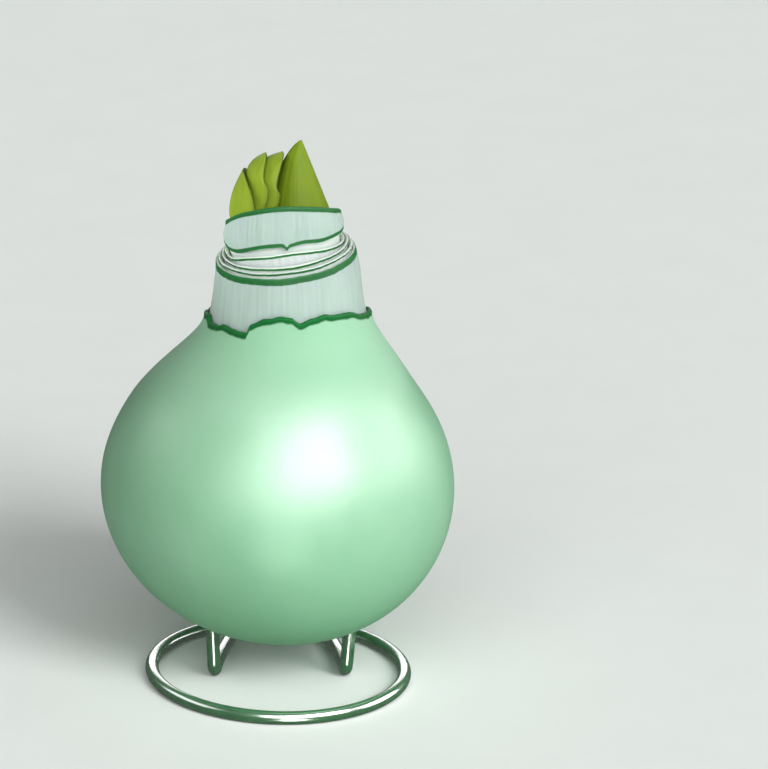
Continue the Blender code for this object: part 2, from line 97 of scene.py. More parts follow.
def start_finish(name, **settings):
    """A new Principled finish whose named sockets hold plain values, with its tree and shader."""
    material = bpy.data.materials.new(name)
    material.use_nodes = True
    shader = material.node_tree.nodes["Principled BSDF"]
    for socket, value in settings.items():
        shader.inputs[socket.replace("_", " ").title().replace("Ior", "IOR")].default_value = value
    return material, material.node_tree, shader


def put(tree, kind, inputs=None, **settings):
    """Adds a node: settings go to its own fields, and inputs are numbers, colours or other sockets."""
    node = tree.nodes.new(kind)
    for field, value in settings.items():
        setattr(node, field, value)
    for socket, value in (inputs or {}).items():
        if isinstance(value, bpy.types.NodeSocket):
            tree.links.new(value, node.inputs[socket])
        else:
            node.inputs[socket].default_value = value
    return node


def ramp(tree, factor, stops):
    """A colour ramp through stops, each a place between 0 and 1 and its colour."""
    node = put(tree, "ShaderNodeValToRGB", {0: factor})
    elements = node.color_ramp.elements
    while len(elements) < len(stops):
        elements.new(0.5)
    for element, (place, colour) in zip(elements, stops):
        element.position = place
        element.color = (*linear(colour), 1.0)
    return node.outputs[0]


def stretched_noise(tree, place, scale, size, detail=3.0):
    """Noise read at a place that is first stretched by a scale along each axis."""
    stretched = put(tree, "ShaderNodeMapping", {"Vector": place, "Scale": scale}).outputs[0]
    inputs = {"Vector": stretched, "Scale": size, "Detail": detail}
    return put(tree, "ShaderNodeTexNoise", inputs).outputs[0]


def make_camera():
    """The camera at the drawing's viewpoint: a focal length in pixels becomes one in millimetres."""
    camera = bpy.data.objects.new("camera", bpy.data.cameras.new("camera"))
    camera.location = CAMERA_PLACE
    camera.rotation_euler = (math.radians(90.0 - CAMERA_DOWN), 0.0, math.radians(-CAMERA_TO_RIGHT))
    camera.data.sensor_fit = "HORIZONTAL"
    camera.data.sensor_width = SENSOR_WIDTH
    camera.data.lens = FOCAL_LENGTH_PIXELS * SENSOR_WIDTH / IMAGE_WIDTH
    camera.data.clip_end = VIEW_END
    bpy.context.collection.objects.link(camera)
    bpy.context.scene.camera = camera


def make_lamp(name, kind, way, distance, power):
    """A lamp that stands in a direction from the bulb and looks at it."""
    lamp = bpy.data.objects.new(name, bpy.data.lights.new(name, kind))
    lamp.data.energy = power
    way = np.array(way) / np.linalg.norm(way)
    lamp.location = LAMP_AIM + way * distance
    lamp.rotation_euler = (math.acos(way[2]), 0.0, math.atan2(way[0], -way[1]))
    bpy.context.collection.objects.link(lamp)
    return lamp


def make_soft_sun(name, way, spread, strength):
    """A soft even light from one direction that leaves the gloss to the sheen boxes."""
    lamp = make_lamp(name, "SUN", way, SUN_DISTANCE, strength)
    lamp.data.angle = math.radians(spread)
    lamp.visible_glossy = False


def make_neck_lamp():
    """A narrow soft spot from the left that lifts the shaded side of the neck and the sprout alone."""
    lamp = make_lamp("neck_lamp", "SPOT", NECK_LAMP_WAY, NECK_LAMP_DISTANCE, NECK_LAMP_POWER)
    lamp.location[2] += NECK_LAMP_RISE
    lamp.data.spot_size = math.radians(NECK_LAMP_CONE)
    lamp.data.spot_blend = NECK_LAMP_SOFT_EDGE
    lamp.data.shadow_soft_size = NECK_LAMP_RADIUS
    lamp.visible_glossy = False


def make_sheen_box(name, way, distance, width, height, power):
    """A wide white soft box that shows in gloss alone, so that it lifts no shadow."""
    lamp = make_lamp(name, "AREA", way, distance, power)
    lamp.data.shape = "RECTANGLE"
    lamp.data.size = width
    lamp.data.size_y = height
    lamp.visible_camera = False
    lamp.visible_diffuse = False


def make_floor():
    """A wide disc of pale painted board, with a faint mottle. It doesn't show in the gloss."""
    turns = np.linspace(0.0, 2 * math.pi, FLOOR_SIDES + 1)[:-1]
    corners = np.stack([np.cos(turns), np.sin(turns), np.zeros(turns.shape)], 1) * FLOOR_RADIUS
    mesh = bpy.data.meshes.new("floor")
    mesh.from_pydata(corners.tolist(), [], [list(range(FLOOR_SIDES))])
    floor = bpy.data.objects.new("floor", mesh)
    bpy.context.collection.objects.link(floor)
    material, tree, shader = start_finish("pale_board", roughness=0.85)
    place = put(tree, "ShaderNodeTexCoord").outputs["Object"]
    mottle = stretched_noise(tree, place, (1.0, 1.0, 1.0), 40.0)
    tree.links.new(ramp(tree, mottle, FLOOR_SHADES), shader.inputs["Base Color"])
    mesh.materials.append(material)
    floor.visible_glossy = False


def make_air():
    """Faint even light from all round."""
    world = bpy.data.worlds.new("studio")
    world.use_nodes = True
    background = world.node_tree.nodes["Background"]
    background.inputs["Color"].default_value = AIR_COLOUR
    background.inputs["Strength"].default_value = AIR_STRENGTH
    bpy.context.scene.world = world


make_camera()
for sun_name, sun in SUNS.items():
    make_soft_sun(sun_name, **sun)
make_neck_lamp()
for box_name, box in SHEEN_BOXES.items():
    make_sheen_box(box_name, **box)
make_floor()
make_air()
bpy.context.scene.view_settings.view_transform = "Standard"

# Wax coat. Pale green wax, left by dipping the bulb neck up: smooth and 1.8 mm thick on the body,
# thinner at the neck, with a torn upper edge that dried as a darker rounded lip. Two round holes in its
# base take the prongs of the stand.
BELLY_RADIUS = 0.0480
BELLY_HEIGHT = 0.0510
BELLY_HANDLE = 0.0213
LOWER_HALF_HEIGHT = 0.0430
BASE_FLAT_RADIUS = 0.0140
SHOULDER = (0.0244, 0.0952)
SHOULDER_SLOPE = 0.63
SHOULDER_HANDLE_DOWN = 0.0088
SHOULDER_HANDLE_UP = 0.0051
NECK_TOP = (0.0201, 0.1170)
NECK_TOP_SLOPE = 0.12
NECK_TOP_HANDLE = 0.0094
NECK_LEAN = 0.0032
NECK_LEAN_HEIGHTS = (0.0747, 0.0980)
TOP_LEAN_BACK = 0.0011
TOP_LEAN_HEIGHTS = (0.1120, 0.1240)
BASE_LEAN = 0.0026
BASE_LEAN_BELOW = 0.0639
BASE_LEAN_REACH = 0.0549
THIN_FROM_HEIGHT = 0.0900
THIN_TO_HEIGHT = 0.1000
WAX_THICKNESS = 0.0018
WAX_EDGE_THICKNESS = 0.0008
WAX_LINING_GAP = 0.00015
WAX_BEAD = 0.00028
WAX_BEAD_REACH = 0.0007
WAX_LOBE_DEPTH = 0.00010
WAX_DRIP_DEPTH = 0.00004
WAX_DIPS_START = (0.010, 0.018)
WAX_DIPS_FADE = 0.006
WAX_RIPPLE = 0.00005
WAX_COLUMNS = 320
WAX_EDGE = [(-180, 0.1008), (-168, 0.1015), (-159, 0.1004), (-150, 0.1008), (-142, 0.1017),
            (-132, 0.1014), (-123, 0.1011), (-120, 0.1013), (-118.5, 0.1037), (-107, 0.1056),
            (-95, 0.1065), (-88, 0.1061), (-81, 0.1046), (-73, 0.1056), (-64, 0.1062), (-53, 0.1056),
            (-41, 0.1052), (-24, 0.1030), (-13, 0.1020), (8, 0.1005), (26, 0.0987), (45, 0.1002),
            (62, 0.0988), (85, 0.1010), (104, 0.0996), (122, 0.1012), (140, 0.1000), (160, 0.0990)]
PRONGS = {
    "left": {"foot": (-0.0173, -0.0140, 0.0018), "top": (-0.0184, -0.0166, 0.0360)},
    "right": {"foot": (0.0184, -0.0144, 0.0018), "top": (0.0212, -0.0152, 0.0350)},
}
PRONG_HOLE_RADIUS = 0.00195
PRONG_HOLE_START = 0.004
PRONG_HOLE_SPARE = 0.0006
PRONG_HOLE_SIDES = 28
FAR = 0.02
WHITE = (255, 255, 255)
WAX_SHADES = [(0.30, (121, 174, 136)), (0.52, (128, 180, 143)), (0.74, (135, 185, 150))]
# Painted shade: the wax colour darkens towards the base, standing in for the shaded lower side.
WAX_BASE_PAINTED_SHADE = (110, 170, 127)
WAX_BASE_PAINTED_SHADE_HEIGHTS = (0.050, 0.012)
WAX_LIP = (22, 92, 42)
WAX_LIP_SHEEN = (60, 130, 80)
WAX_LIP_REACH = (0.00235, 0.00175)
WAX_LIP_WANDER = 0.0009
WAX_LIP_SMOOTHER = -0.25
WAX_DULL_HEIGHTS = (0.078, 0.094)
WAX_DULL_MORE = 0.40
WAX_ROUGHNESS = (0.43, 0.51)
WAX_PIT_DEPTH = 0.00005


def blend_colour(tree, factor, first, second):
    """The second colour laid over the first one by a factor."""
    node = put(tree, "ShaderNodeMix", {0: factor}, data_type="RGBA")
    for socket, value in ((node.inputs[6], first), (node.inputs[7], second)):
        if isinstance(value, bpy.types.NodeSocket):
            tree.links.new(value, socket)
        else:
            socket.default_value = (*linear(value), 1.0)
    return node.outputs[2]


def between(tree, value, low, high, low_result=0.0, high_result=1.0):
    """A value mapped smoothly from one range to another."""
    inputs = {"Value": value, "From Min": low, "From Max": high,
              "To Min": low_result, "To Max": high_result}
    return put(tree, "ShaderNodeMapRange", inputs, interpolation_type="SMOOTHSTEP").outputs[0]


def times_plus(tree, value, factor, extra):
    """A value times a factor, plus something extra."""
    inputs = {0: value, 1: factor, 2: extra}
    return put(tree, "ShaderNodeMath", inputs, operation="MULTIPLY_ADD").outputs[0]


def relief(tree, shader, height, distance, strength=1.0):
    """Fine relief from a height between 0 and 1 and its real depth in metres."""
    inputs = {"Strength": strength, "Distance": distance, "Height": height}
    tree.links.new(put(tree, "ShaderNodeBump", inputs).outputs[0], shader.inputs["Normal"])


def smooth_step(value, start, end):
    """0 below start and 1 above end, with the cubic 3t^2 - 2t^3 between them."""
    part = np.clip((value - start) / (end - start), 0.0, 1.0)
    return part * part * (3.0 - 2.0 * part)


def bezier(points, parts):
    """A cubic Bezier curve read at parts between 0 and 1."""
    t = np.asarray(parts)[:, None]
    a, b, c, d = (np.array(point, float) for point in points)
    return (1 - t) ** 3 * a + 3 * t * (1 - t) ** 2 * b + 3 * t * t * (1 - t) * c + t ** 3 * d


def turns_of(columns):
    """The angles of a ring's columns, counted from +X."""
    return np.arange(columns) * (2 * math.pi / columns)


def points_round(points, turns):
    """Where angles lie on a closed edge given by points of angle and height: the point before and the one
    after each, how many degrees lie between those two, and the part of them that is passed."""
    where = np.array([point[0] for point in points], float)
    turn = (np.degrees(turns) + 180.0) % 360.0 - 180.0
    before = np.searchsorted(where, turn, side="right") - 1
    after = (before + 1) % len(points)
    span = (where[after] - where[before]) % 360.0
    return before, after, span, (turn - where[before]) / span


def torn_edge(points, turns, ragged):
    """Height of a torn edge by angle: a smooth step from each point to the next, plus fine ripples that
    are a sum of four sine waves of different counts."""
    height = np.array([point[1] for point in points], float)
    before, after, _, part = points_round(points, turns)
    rise = smooth_step(part, 0.0, 1.0)
    ripple = np.sin(23 * turns + 0.8) + 0.7 * np.sin(41 * turns + 2.1) + 0.5 * np.sin(67 * turns + 4.0)
    ripple += 0.35 * np.sin(103 * turns + 1.2)
    return height[before] * (1 - rise) + height[after] * rise + ragged * ripple


def even_edge(points, turns):
    """Height of an even edge by angle: a closed cubic Hermite curve through its points, whose slope at
    each point is the one between its two neighbours."""
    where, height = np.array(points, float).T
    apart = (np.roll(where, -1) - np.roll(where, 1)) % 360.0
    slope = (np.roll(height, -1) - np.roll(height, 1)) / apart
    before, after, span, part = points_round(points, turns)
    rise = part * part * (3.0 - 2.0 * part)
    bend = part * (1.0 - part) * ((1.0 - part) * slope[before] - part * slope[after]) * span
    return height[before] * (1.0 - rise) + height[after] * rise + bend


def middle_x(height):
    """Where the bulb's middle line lies: it leans to +X towards the neck and towards the base, and comes
    back a little at its top."""
    neck = NECK_LEAN * smooth_step(height, *NECK_LEAN_HEIGHTS)
    top = TOP_LEAN_BACK * smooth_step(height, *TOP_LEAN_HEIGHTS)
    base = BASE_LEAN * (np.clip(BASE_LEAN_BELOW - height, 0.0, None) / BASE_LEAN_REACH) ** 2
    return neck - top + base


def round_the_middle(turns, radius, height):
    """Points at a radius and height round the bulb's middle line, as rows by columns by 3."""
    turns, radius, height = np.broadcast_arrays(turns, radius, height)
    return np.stack([middle_x(height) + radius * np.cos(turns), radius * np.sin(turns), height], -1)


def round_lip(turns, middle, half, foot):
    """A half-round lip on top of a wall, from its outside over to its inside, by the wall's middle radius,
    half its thickness and the height at which the lip starts."""
    over = np.linspace(0.0, math.pi, 9)[1:-1, None]
    return round_the_middle(turns, middle + half * np.cos(over), foot + half * np.sin(over))


def wax_outline():
    """Radius and height of the wax from the flat base up: part of an ellipse to the belly, a Bezier curve
    over the shoulder and one up the neck."""
    turn = np.linspace(math.asin(BASE_FLAT_RADIUS / BELLY_RADIUS), math.pi / 2, 240)[:-1]
    lower = np.stack([BELLY_RADIUS * np.sin(turn), BELLY_HEIGHT - LOWER_HALF_HEIGHT * np.cos(turn)], 1)
    radius, height = SHOULDER
    below = (radius + SHOULDER_SLOPE * SHOULDER_HANDLE_DOWN, height - SHOULDER_HANDLE_DOWN)
    above = (radius - SHOULDER_SLOPE * SHOULDER_HANDLE_UP, height + SHOULDER_HANDLE_UP)
    near_top = (NECK_TOP[0] + NECK_TOP_SLOPE * NECK_TOP_HANDLE, NECK_TOP[1] - NECK_TOP_HANDLE)
    upper = bezier([(BELLY_RADIUS, BELLY_HEIGHT), (BELLY_RADIUS, BELLY_HEIGHT + BELLY_HANDLE), below,
                    SHOULDER], np.linspace(0.0, 1.0, 240))[:-1]
    neck = bezier([SHOULDER, above, near_top, NECK_TOP], np.linspace(0.0, 1.0, 120))
    return np.concatenate([lower, upper, neck])


def moved_in(outline, extra):
    """The outline moved in along its normals by the wax's thickness and an extra distance."""
    along = np.gradient(outline, axis=0)
    normal = np.stack([along[:, 1], -along[:, 0]], 1) / np.linalg.norm(along, axis=1)[:, None]
    thin = smooth_step(outline[:, 1], THIN_FROM_HEIGHT, THIN_TO_HEIGHT)
    distance = WAX_THICKNESS + (WAX_EDGE_THICKNESS - WAX_THICKNESS) * thin + extra
    moved = outline - normal * distance[:, None]
    moved[0, 1] = outline[0, 1] + distance[0]
    return moved


def spread_along(outline, top, count):
    """Points spaced evenly along an outline, from its start up to a height, in columns of one."""
    part = outline[: np.searchsorted(outline[:, 1], top)]
    length = np.concatenate([[0.0], np.cumsum(np.linalg.norm(np.diff(part, axis=0), axis=1))])
    spots = np.linspace(0.0, length[-1], count)
    return np.interp(spots, length, part[:, 0])[:, None], np.interp(spots, length, part[:, 1])[:, None]


def radius_up(outline, height):
    """Radius of an outline at a height above the belly."""
    upper = outline[outline[:, 1] > BELLY_HEIGHT]
    return np.interp(height, upper[:, 1], upper[:, 0])


def hand_dipped(turns, height):
    """How far the wax dips in from its outline: broad lobes of the bulb under it and slow drip waves."""
    lobes = 0.5 - 0.5 * np.cos(5 * turns + 0.7 + 12.0 * height)
    drips = 0.5 - 0.5 * np.cos(11 * turns + 2.0 + 3.0 * np.sin(40.0 * height))
    return WAX_LOBE_DEPTH * lobes + WAX_DRIP_DEPTH * drips


def reach_up_grid(columns, *parts):
    """One measured distance for a whole grid, from arrays of rows that follow each other up the grid. Each
    is spread over all columns, and the result is held between 0 and FAR."""
    rows = [np.broadcast_to(part, (len(part), columns)) for part in parts]
    return np.clip(np.concatenate(rows), 0.0, FAR)


def skin(name, grid, values, material, open_ends=False):
    """Mesh of a grid of points, rows by columns by 3. Each row is a closed ring, and neighbouring rows are
    joined by four-sided faces. The last row is joined to the first one, or else a fan to its mean closes
    each end. The UV map holds column and row as fractions. Each of values, rows by columns, becomes a
    point attribute."""
    rows, columns = grid.shape[:2]
    ids = np.arange(rows * columns).reshape(rows, columns)
    strips = rows - 1 if open_ends else rows
    here, there = ids[:strips], np.roll(ids, -1, axis=0)[:strips]
    quads = np.stack([here, np.roll(here, -1, axis=1), np.roll(there, -1, axis=1), there], -1)
    quads = quads.reshape(-1, 4)
    u = np.broadcast_to(np.arange(columns) / columns, (strips, columns))
    v = np.broadcast_to(np.arange(strips)[:, None] / strips, (strips, columns))
    du, dv = 1.0 / columns, 1.0 / strips
    quad_uv = np.stack([u, v, u + du, v, u + du, v + dv, u, v + dv], -1).reshape(-1, 2)
    corners = grid.reshape(-1, 3)
    loops, starts, uvs = [quads.ravel()], [np.arange(len(quads)) * 4], [quad_uv]
    values = {key: np.broadcast_to(value, (rows, columns)).ravel() for key, value in values.items()}
    if open_ends:
        ends = [(ids[0], rows * columns, 0.0), (ids[-1], rows * columns + 1, 1.0)]
        means = [grid[0].mean(0, keepdims=True), grid[-1].mean(0, keepdims=True)]
        corners = np.concatenate([corners, *means])
        values = {key: np.concatenate([value, [value[0], value[-1]]]) for key, value in values.items()}
        for row, middle, end in ends:
            side, after = (np.roll(row, -1), row) if end == 0.0 else (row, np.roll(row, -1))
            fan = np.stack([np.full(columns, middle), side, after], 1)
            starts.append(starts[-1][-1] + (4 if len(loops) == 1 else 3) + np.arange(columns) * 3)
            loops.append(fan.ravel())
            uvs.append(np.stack([u[0], np.full(columns, end)] * 3, -1).reshape(-1, 2))
    loops, starts, uvs = np.concatenate(loops), np.concatenate(starts), np.concatenate(uvs)
    mesh = bpy.data.meshes.new(name)
    mesh.vertices.add(len(corners))
    mesh.vertices.foreach_set("co", corners.astype(np.float32).ravel())
    mesh.loops.add(len(loops))
    mesh.loops.foreach_set("vertex_index", loops.astype(np.int32))
    mesh.polygons.add(len(starts))
    mesh.polygons.foreach_set("loop_start", starts.astype(np.int32))
    mesh.update(calc_edges=True)
    mesh.uv_layers.new(name="around_and_along").data.foreach_set("uv", uvs.astype(np.float32).ravel())
    for key, value in values.items():
        mesh.attributes.new(key, "FLOAT", "POINT").data.foreach_set("value", value.astype(np.float32))
    mesh.validate()
    mesh.shade_smooth()
    mesh.materials.append(material)
    piece = bpy.data.objects.new(name, mesh)
    bpy.context.collection.objects.link(piece)
    return piece


def seat(piece, node):
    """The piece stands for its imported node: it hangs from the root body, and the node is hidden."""
    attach(piece, "root")
    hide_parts(node)


def wax_finish():
    """Dipping wax: pale green, a little cloudy, darker towards the base as painted shade, and dark in its
    lip. Its gloss is soft, duller towards the neck, and green in the lip."""
    material, tree, shader = start_finish("green_dipping_wax", ior=2.4, specular_ior_level=0.15,
                                          subsurface_weight=0.12, subsurface_scale=0.0035,
                                          subsurface_radius=(0.6, 1.0, 0.7))
    place = put(tree, "ShaderNodeTexCoord").outputs["Object"]
    clouds = stretched_noise(tree, place, (1.0, 1.0, 0.6), 38.0)
    height = put(tree, "ShaderNodeSeparateXYZ", {0: place}).outputs["Z"]
    # Darker towards the base: painted shade.
    painted_base_shade = between(tree, height, *WAX_BASE_PAINTED_SHADE_HEIGHTS)
    body = blend_colour(tree, painted_base_shade, ramp(tree, clouds, WAX_SHADES), WAX_BASE_PAINTED_SHADE)
    rim = put(tree, "ShaderNodeAttribute", attribute_name="below_rim").outputs["Fac"]
    speckle = stretched_noise(tree, place, (1.0, 1.0, 1.0), 420.0)
    lip = between(tree, times_plus(tree, speckle, WAX_LIP_WANDER, rim), *WAX_LIP_REACH)
    tree.links.new(blend_colour(tree, lip, body, WAX_LIP), shader.inputs["Base Color"])
    tree.links.new(blend_colour(tree, lip, WHITE, WAX_LIP_SHEEN), shader.inputs["Specular Tint"])
    dull = between(tree, height, *WAX_DULL_HEIGHTS, 0.0, WAX_DULL_MORE)
    gloss = between(tree, clouds, 0.25, 0.75, *WAX_ROUGHNESS)
    even = put(tree, "ShaderNodeMath", {0: gloss, 1: dull}, operation="ADD").outputs[0]
    tree.links.new(times_plus(tree, lip, WAX_LIP_SMOOTHER, even), shader.inputs["Roughness"])
    relief(tree, shader, stretched_noise(tree, place, (1.0, 1.0, 0.55), 260.0, 2.0), WAX_PIT_DEPTH)
    return material


def cut_prong_holes(piece):
    """Cuts the two round holes in which the prongs stand, then keeps only the result."""
    for side_name, prong in PRONGS.items():
        foot, top = np.array(prong["foot"]), np.array(prong["top"])
        way = (top - foot) / np.linalg.norm(top - foot)
        side = np.cross(way, (0.0, 1.0, 0.0))
        side /= np.linalg.norm(side)
        turns = turns_of(PRONG_HOLE_SIDES)[None, :, None]
        section = side * np.cos(turns) + np.cross(way, side) * np.sin(turns)
        line = np.linspace(foot + way * PRONG_HOLE_START, top + way * PRONG_HOLE_SPARE, 5)[:, None, :]
        cutter = skin("prong_cutter_" + side_name, line + section * PRONG_HOLE_RADIUS, {},
                      piece.data.materials[0], True)
        cut = piece.modifiers.new("prong_hole", "BOOLEAN")
        cut.object = cutter
        cut.solver = "EXACT"
    evaluated = piece.evaluated_get(bpy.context.evaluated_depsgraph_get())
    mesh = bpy.data.meshes.new_from_object(evaluated)
    cutters = [modifier.object for modifier in piece.modifiers]
    piece.modifiers.clear()
    piece.data = mesh
    for cutter in cutters:
        bpy.data.objects.remove(cutter)


def make_wax_coat():
    """The wax as one closed shell: up the outside, over a half-round lip and down the inside."""
    turns = turns_of(WAX_COLUMNS)[None, :]
    edge = torn_edge(WAX_EDGE, turns, WAX_RIPPLE)
    outside = wax_outline()
    inside = moved_in(outside, WAX_LINING_GAP)
    radius, height = spread_along(outside, THIN_FROM_HEIGHT, 96)
    base = np.linspace(0.15, 1.0, 7)[:-1, None]
    radius = np.concatenate([radius[0] * base, radius])
    height = np.concatenate([np.full(base.shape, height[0, 0]), height])
    dips = hand_dipped(turns, height) * smooth_step(height, *WAX_DIPS_START)
    body = round_the_middle(turns, radius - dips, height)
    lip_half = (WAX_EDGE_THICKNESS + WAX_BEAD) / 2
    lip_foot = edge - lip_half
    rise = np.sin(np.linspace(0.0, math.pi / 2, 20))[1:, None]
    up = THIN_FROM_HEIGHT + (lip_foot - THIN_FROM_HEIGHT) * rise
    bead = WAX_BEAD * np.exp(-((lip_foot - up) / WAX_BEAD_REACH) ** 2)
    fade = 1.0 - smooth_step(up, THIN_FROM_HEIGHT, THIN_FROM_HEIGHT + WAX_DIPS_FADE)
    collar = round_the_middle(turns, radius_up(outside, up) + bead - hand_dipped(turns, up) * fade, up)
    lip = round_lip(turns, radius_up(outside, edge) + WAX_BEAD - lip_half, lip_half, lip_foot)
    fall = np.linspace(1.0, 0.0, 12)[:, None]
    down = THIN_FROM_HEIGHT + (lip_foot - THIN_FROM_HEIGHT) * fall
    lining = round_the_middle(turns, radius_up(inside, down), down)
    radius, height = spread_along(inside, THIN_FROM_HEIGHT, 40)
    radius = np.concatenate([radius[::-1][1:], radius[0] * base[::-1]])
    height = np.concatenate([height[::-1][1:], np.full(base.shape, height[0, 0])])
    inner = round_the_middle(turns, radius, height)
    below = reach_up_grid(WAX_COLUMNS, edge - body[:, :, 2], edge - up, np.zeros((len(lip), 1)),
                          edge - down, np.full((len(inner), 1), FAR))
    grid = np.concatenate([body, collar, lip, lining, inner])
    piece = skin("wax_coat_finish", grid, {"below_rim": below}, wax_finish(), True)
    cut_prong_holes(piece)
    seat(piece, "wax_coat")


make_wax_coat()

# Bulb. The living bulb fills the wax. Only its neck shows: pale grey-green skin with fine lengthwise
# veins, cut straight across, and hollow where the sprout stands.
BULB_GAP = 0.0003
NECK_EDGE = (0.1173, 0.0018, 0.0007)
NECK_LIP_DEPTH = 0.0010
NECK_LIP_RISE = 0.0008
NECK_LIP_SET_IN = 0.0001
NECK_LIP_SQUARENESS = 0.6
NECK_RIB_HEIGHTS = (0.098, 0.102)
HOLLOW_RADIUS = 0.0181
HOLLOW_FLOOR_HEIGHT = 0.1105
NECK_COLUMNS = 288
CUT_LINE_GREEN = (34, 98, 50)
FAR_FROM_EDGE_REACH = (0.015, 0.018)
NECK_LOOK = {"flesh": (168, 187, 179), "vein": (160, 180, 171), "line": CUT_LINE_GREEN,
             "cut_tone_and_painted_light": (190, 202, 193), "line_key": "below_cut", "line_width": 0.0008, "veins": 90.0}


def clean_cut(plane, turns):
    """Height of a straight cut by angle: a plane with a rise to +X and one to the back."""
    middle, right_rise, back_rise = plane
    return middle + right_rise * np.cos(turns) + back_rise * np.sin(turns)


def plant_finish(name, flesh, vein, line, cut_tone_and_painted_light, line_key, line_width, veins,
                 roughness=0.55, specular=0.12):
    """Plant skin: flesh colour with lengthwise veins round the piece, a slow mottle, and a darker line
    along the edge that an attribute measures. Far from that edge its colour changes: a real cut tone on
    the neck, painted shade on the cut scales and painted light on the sheath."""
    material, tree, shader = start_finish(name, roughness=roughness, specular_ior_level=specular,
                                          subsurface_weight=0.6, subsurface_scale=0.0050,
                                          subsurface_radius=(0.8, 1.0, 0.6))
    place = put(tree, "ShaderNodeTexCoord").outputs["Object"]
    chart = put(tree, "ShaderNodeUVMap", uv_map="around_and_along").outputs[0]
    fibres = stretched_noise(tree, chart, (veins, 1.6, 1.0), 1.0, 4.0)
    mottle = stretched_noise(tree, place, (1.0, 1.0, 1.0), 160.0)
    veined = ramp(tree, fibres, [(0.32, vein), (0.50, flesh), (0.85, flesh)])
    shaded = blend_colour(tree, between(tree, mottle, 0.35, 0.75, 0.0, 0.35), veined, vein)
    reach = put(tree, "ShaderNodeAttribute", attribute_name=line_key).outputs["Fac"]
    # Away from the edge: a cut tone on the neck, painted shade on the scales, painted light on the sheath.
    shaded = blend_colour(tree, between(tree, reach, *FAR_FROM_EDGE_REACH), shaded, cut_tone_and_painted_light)
    wander = times_plus(tree, mottle, line_width * 0.5, reach)
    edge = between(tree, wander, line_width * 1.45, line_width * 1.05)
    tree.links.new(blend_colour(tree, edge, shaded, line), shader.inputs["Base Color"])
    relief(tree, shader, fibres, 0.00008, 0.6)
    return material


def make_bulb():
    """The bulb as one closed body: up its outside to the cut neck, over the lip and into the hollow. The
    lip's section is a flattened arc: the cosine and sine of its angle are raised to a power below 1."""
    turns = turns_of(NECK_COLUMNS)[None, :]
    edge = clean_cut(NECK_EDGE, turns) + 0.00006 * np.sin(9 * turns + 1.0) + 0.00003 * np.sin(31 * turns)
    outside = moved_in(wax_outline(), BULB_GAP)
    radius, height = spread_along(outside, THIN_FROM_HEIGHT, 30)
    body = round_the_middle(turns, radius, height)
    rise = np.linspace(0.0, 1.0, 34)[1:, None]
    up = THIN_FROM_HEIGHT + (edge - NECK_LIP_DEPTH - THIN_FROM_HEIGHT) * rise
    ribs = 0.00005 * np.sin(52 * turns + 3 * np.sin(4 * turns)) + 0.00003 * np.sin(88 * turns + 60 * up)
    ribs = ribs - 0.00012 * (0.5 + 0.5 * np.sin(7 * turns + 90 * up))
    neck = round_the_middle(turns, radius_up(outside, up) + ribs * smooth_step(up, *NECK_RIB_HEIGHTS), up)
    lip_radius = radius_up(outside, edge - NECK_LIP_DEPTH) - NECK_LIP_SET_IN
    over = np.linspace(0.0, math.pi, 11)[1:, None]
    half = (lip_radius - HOLLOW_RADIUS) / 2
    outward = half * np.sign(np.cos(over)) * np.abs(np.cos(over)) ** NECK_LIP_SQUARENESS
    lip_height = edge - NECK_LIP_RISE + NECK_LIP_RISE * np.sin(over) ** NECK_LIP_SQUARENESS
    lip = round_the_middle(turns, HOLLOW_RADIUS + half + outward, lip_height)
    fall = np.linspace(0.0, 1.0, 8)[1:, None]
    down = edge - NECK_LIP_RISE + (HOLLOW_FLOOR_HEIGHT - edge + NECK_LIP_RISE) * fall
    well = round_the_middle(turns, HOLLOW_RADIUS, down)
    floor_radius = HOLLOW_RADIUS * np.linspace(1.0, 0.1, 8)[1:, None]
    floor = round_the_middle(turns, floor_radius, HOLLOW_FLOOR_HEIGHT)
    below = reach_up_grid(NECK_COLUMNS, np.full((len(body), 1), FAR), edge - NECK_LIP_DEPTH - up,
                          np.where(np.cos(over) > 0.3, 0.0, FAR),
                          np.full((len(well) + len(floor), 1), FAR))
    grid = np.concatenate([body, neck, lip, well, floor])
    piece = skin("bulb_finish", grid, {"below_cut": below}, plant_finish("neck_skin", **NECK_LOOK), True)
    seat(piece, "bulb")


make_bulb()

# Cut scales. Three inner scales of the bulb stand out of the neck as thin sleeves. They were cut with
# the neck, so their edges are cream-white, and a thin darker skin shows on the outside of each.
SCALE_PLANES = [(0.1185, 0.0019, 0.0004), (0.1194, 0.0019, 0.0002)]
INNER_SCALE_EDGE = [(-180, 0.1190), (-156, 0.1186), (-124, 0.1207), (-103, 0.1219), (-85, 0.1227),
                    (-60, 0.1228), (-34, 0.1222), (-15, 0.1218), (20, 0.1216), (60, 0.1211),
                    (90, 0.1204), (130, 0.1198)]
SCALE_THICKNESS = 0.0007
SCALE_STEP = 0.0010
SCALE_FLARE = 0.0004
SCALE_FLARE_BELOW_EDGE = (0.0012, 0.0002)
# Painted shade: the cut tops and the inner faces between the scales take a darker colour.
SCALE_LOOK = {"flesh": (206, 218, 208), "vein": (196, 211, 199), "line": CUT_LINE_GREEN,
              "cut_tone_and_painted_light": (186, 198, 189), "line_key": "below_cut", "line_width": 0.0007, "veins": 110.0}


